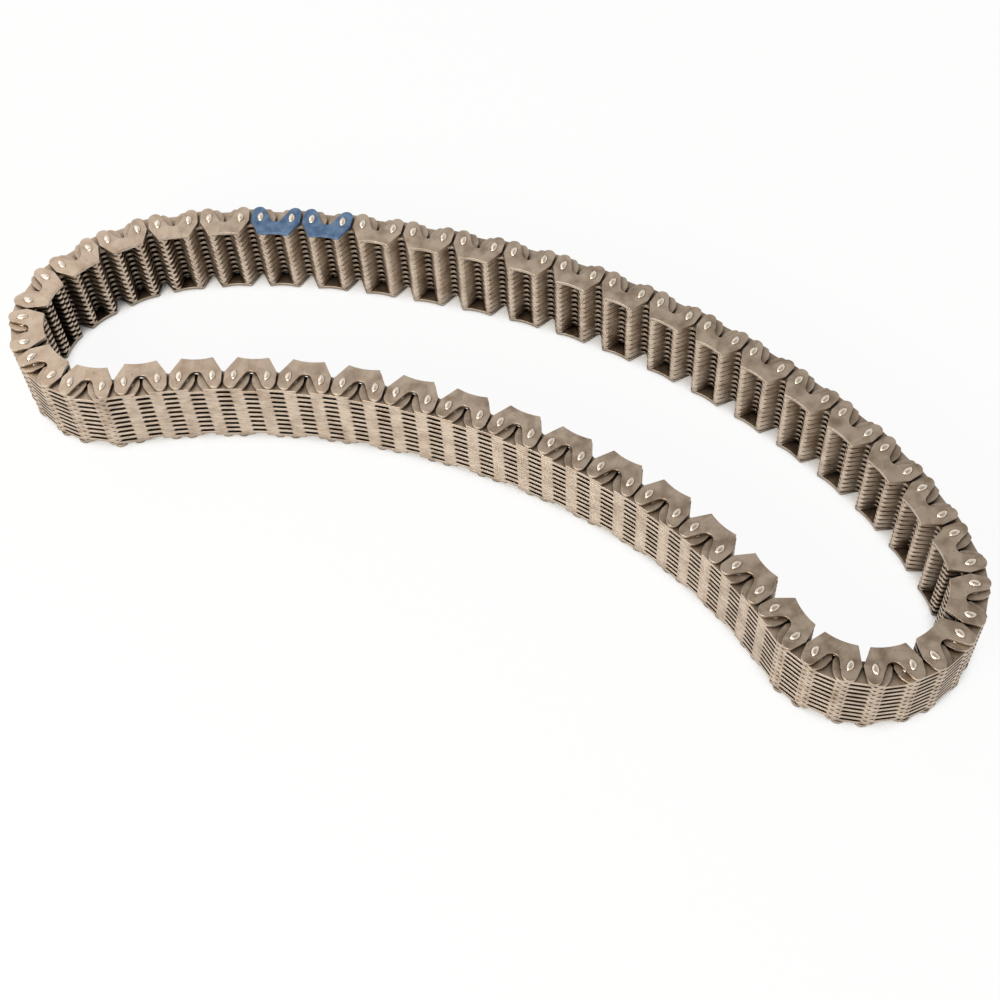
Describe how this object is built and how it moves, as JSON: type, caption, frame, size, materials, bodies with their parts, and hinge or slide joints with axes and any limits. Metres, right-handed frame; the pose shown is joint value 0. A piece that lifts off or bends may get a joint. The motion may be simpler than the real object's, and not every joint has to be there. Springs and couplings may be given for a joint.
{
  "type": "silent chain",
  "caption": "Endless silent chain of interleaved toothed plates on rocker joints, with guide plates on both edges, lying in a bent loop.",
  "frame": {"origin": "middle of the bounding box in X and Y, at the level of the pins' lower ends, on which the chain lies", "axes": "+X along the loop, towards its tight right bend; +Y across the loop, towards its outward-bowed run; +Z along the pins, up to the side with the two marked guide plates"},
  "size_m": [0.3214, 0.2126, 0.0313],
  "materials": {
    "plate_steel": "stamped and tumbled steel, satin, with a film of oil",
    "joint_steel": "ground and polished steel, satin to bright",
    "marker_paint": "thin blue marking paint, satin"
  },
  "bodies": {
    "segment_01": {"marker_guide_plates": "marker_paint", "link_plates_01": "plate_steel", "guide_plates_01": "plate_steel", "pins_01": "joint_steel", "rockers_01": "joint_steel"},
    "segment_02": {"link_plates_02": "plate_steel", "guide_plates_02": "plate_steel", "pins_02": "joint_steel", "rockers_02": "joint_steel"},
    "segment_03": {"link_plates_03": "plate_steel", "guide_plates_03": "plate_steel", "pins_03": "joint_steel", "rockers_03": "joint_steel"},
    "segment_04": {"link_plates_04": "plate_steel", "guide_plates_04": "plate_steel", "pins_04": "joint_steel", "rockers_04": "joint_steel"},
    "segment_05": {"link_plates_05": "plate_steel", "guide_plates_05": "plate_steel", "pins_05": "joint_steel", "rockers_05": "joint_steel"},
    "segment_06": {"link_plates_06": "plate_steel", "guide_plates_06": "plate_steel", "pins_06": "joint_steel", "rockers_06": "joint_steel"},
    "segment_07": {"link_plates_07": "plate_steel", "guide_plates_07": "plate_steel", "pins_07": "joint_steel", "rockers_07": "joint_steel"},
    "segment_08": {"link_plates_08": "plate_steel", "guide_plates_08": "plate_steel", "pins_08": "joint_steel", "rockers_08": "joint_steel"},
    "segment_09": {"link_plates_09": "plate_steel", "guide_plates_09": "plate_steel", "pins_09": "joint_steel", "rockers_09": "joint_steel"},
    "segment_10": {"link_plates_10": "plate_steel", "guide_plates_10": "plate_steel", "pins_10": "joint_steel", "rockers_10": "joint_steel"},
    "segment_11": {"link_plates_11": "plate_steel", "guide_plates_11": "plate_steel", "pins_11": "joint_steel", "rockers_11": "joint_steel"},
    "segment_12": {"link_plates_12": "plate_steel", "guide_plates_12": "plate_steel", "pins_12": "joint_steel", "rockers_12": "joint_steel"},
    "segment_13": {"link_plates_13": "plate_steel", "guide_plates_13": "plate_steel", "pins_13": "joint_steel", "rockers_13": "joint_steel"},
    "segment_14": {"link_plates_14": "plate_steel", "guide_plates_14": "plate_steel", "pins_14": "joint_steel", "rockers_14": "joint_steel"}
  },
  "joints": [
    {"name": "flex_02", "type": "hinge", "parent": "segment_02", "child": "segment_01", "pos_m": [-0.07984, 0.1009, 0.01564], "axis": [0, 0, 1], "range_deg": [-4.1, 3.2]},
    {"name": "flex_03", "type": "hinge", "parent": "segment_03", "child": "segment_02", "pos_m": [-0.13499, 0.09051, 0.01564], "axis": [0, 0, 1], "range_deg": [-3.2, 2.5]},
    {"name": "flex_04", "type": "hinge", "parent": "segment_04", "child": "segment_03", "pos_m": [-0.15014, 0.04217, 0.01564], "axis": [0, 0, 1], "range_deg": [-2.7, 3.5]},
    {"name": "flex_05", "type": "hinge", "parent": "segment_05", "child": "segment_04", "pos_m": [-0.09763, 0.02962, 0.01564], "axis": [0, 0, 1], "range_deg": [-3.6, 4.6]},
    {"name": "flex_06", "type": "hinge", "parent": "segment_06", "child": "segment_05", "pos_m": [-0.04118, 0.02166, 0.01564], "axis": [0, 0, 1], "range_deg": [-1.7, 2.1]},
    {"name": "flex_07", "type": "hinge", "parent": "segment_07", "child": "segment_06", "pos_m": [0.01168, 0.00028, 0.01564], "axis": [0, 0, 1], "range_deg": [-2.1, 1.7]},
    {"name": "flex_08", "type": "hinge", "parent": "segment_08", "child": "segment_07", "pos_m": [0.05815, -0.03275, 0.01564], "axis": [0, 0, 1], "range_deg": [-8, 6]},
    {"name": "flex_09", "type": "hinge", "parent": "segment_08", "child": "segment_09", "pos_m": [0.09227, -0.07826, 0.01564], "axis": [0, 0, 1], "range_deg": [-3.5, 2.7]},
    {"name": "flex_10", "type": "hinge", "parent": "segment_09", "child": "segment_10", "pos_m": [0.1387, -0.09714, 0.01564], "axis": [0, 0, 1], "range_deg": [-1.7, 2.1]},
    {"name": "flex_11", "type": "hinge", "parent": "segment_10", "child": "segment_11", "pos_m": [0.14974, -0.04692, 0.01564], "axis": [0, 0, 1], "range_deg": [-1.7, 2.1]},
    {"name": "flex_12", "type": "hinge", "parent": "segment_11", "child": "segment_12", "pos_m": [0.11969, 0.00132, 0.01564], "axis": [0, 0, 1], "range_deg": [-4.4, 3.5]},
    {"name": "flex_13", "type": "hinge", "parent": "segment_12", "child": "segment_13", "pos_m": [0.07834, 0.04064, 0.01564], "axis": [0, 0, 1], "range_deg": [-5, 3.9]},
    {"name": "flex_14", "type": "hinge", "parent": "segment_13", "child": "segment_14", "pos_m": [0.02981, 0.0706, 0.01564], "axis": [0, 0, 1], "range_deg": [-2.1, 1.7]}
  ],
  "couplings": [
    {"joint": "flex_02", "follows": "flex_08", "ratio": 0.4558},
    {"joint": "flex_03", "follows": "flex_08", "ratio": 0.3316},
    {"joint": "flex_04", "follows": "flex_08", "ratio": -0.3737},
    {"joint": "flex_05", "follows": "flex_08", "ratio": -0.512},
    {"joint": "flex_06", "follows": "flex_08", "ratio": -0.2},
    {"joint": "flex_07", "follows": "flex_08", "ratio": 0.2},
    {"joint": "flex_09", "follows": "flex_08", "ratio": 0.3701},
    {"joint": "flex_10", "follows": "flex_08", "ratio": -0.2},
    {"joint": "flex_11", "follows": "flex_08", "ratio": -0.2},
    {"joint": "flex_12", "follows": "flex_08", "ratio": 0.4929},
    {"joint": "flex_13", "follows": "flex_08", "ratio": 0.5669},
    {"joint": "flex_14", "follows": "flex_08", "ratio": 0.2}
  ]
}
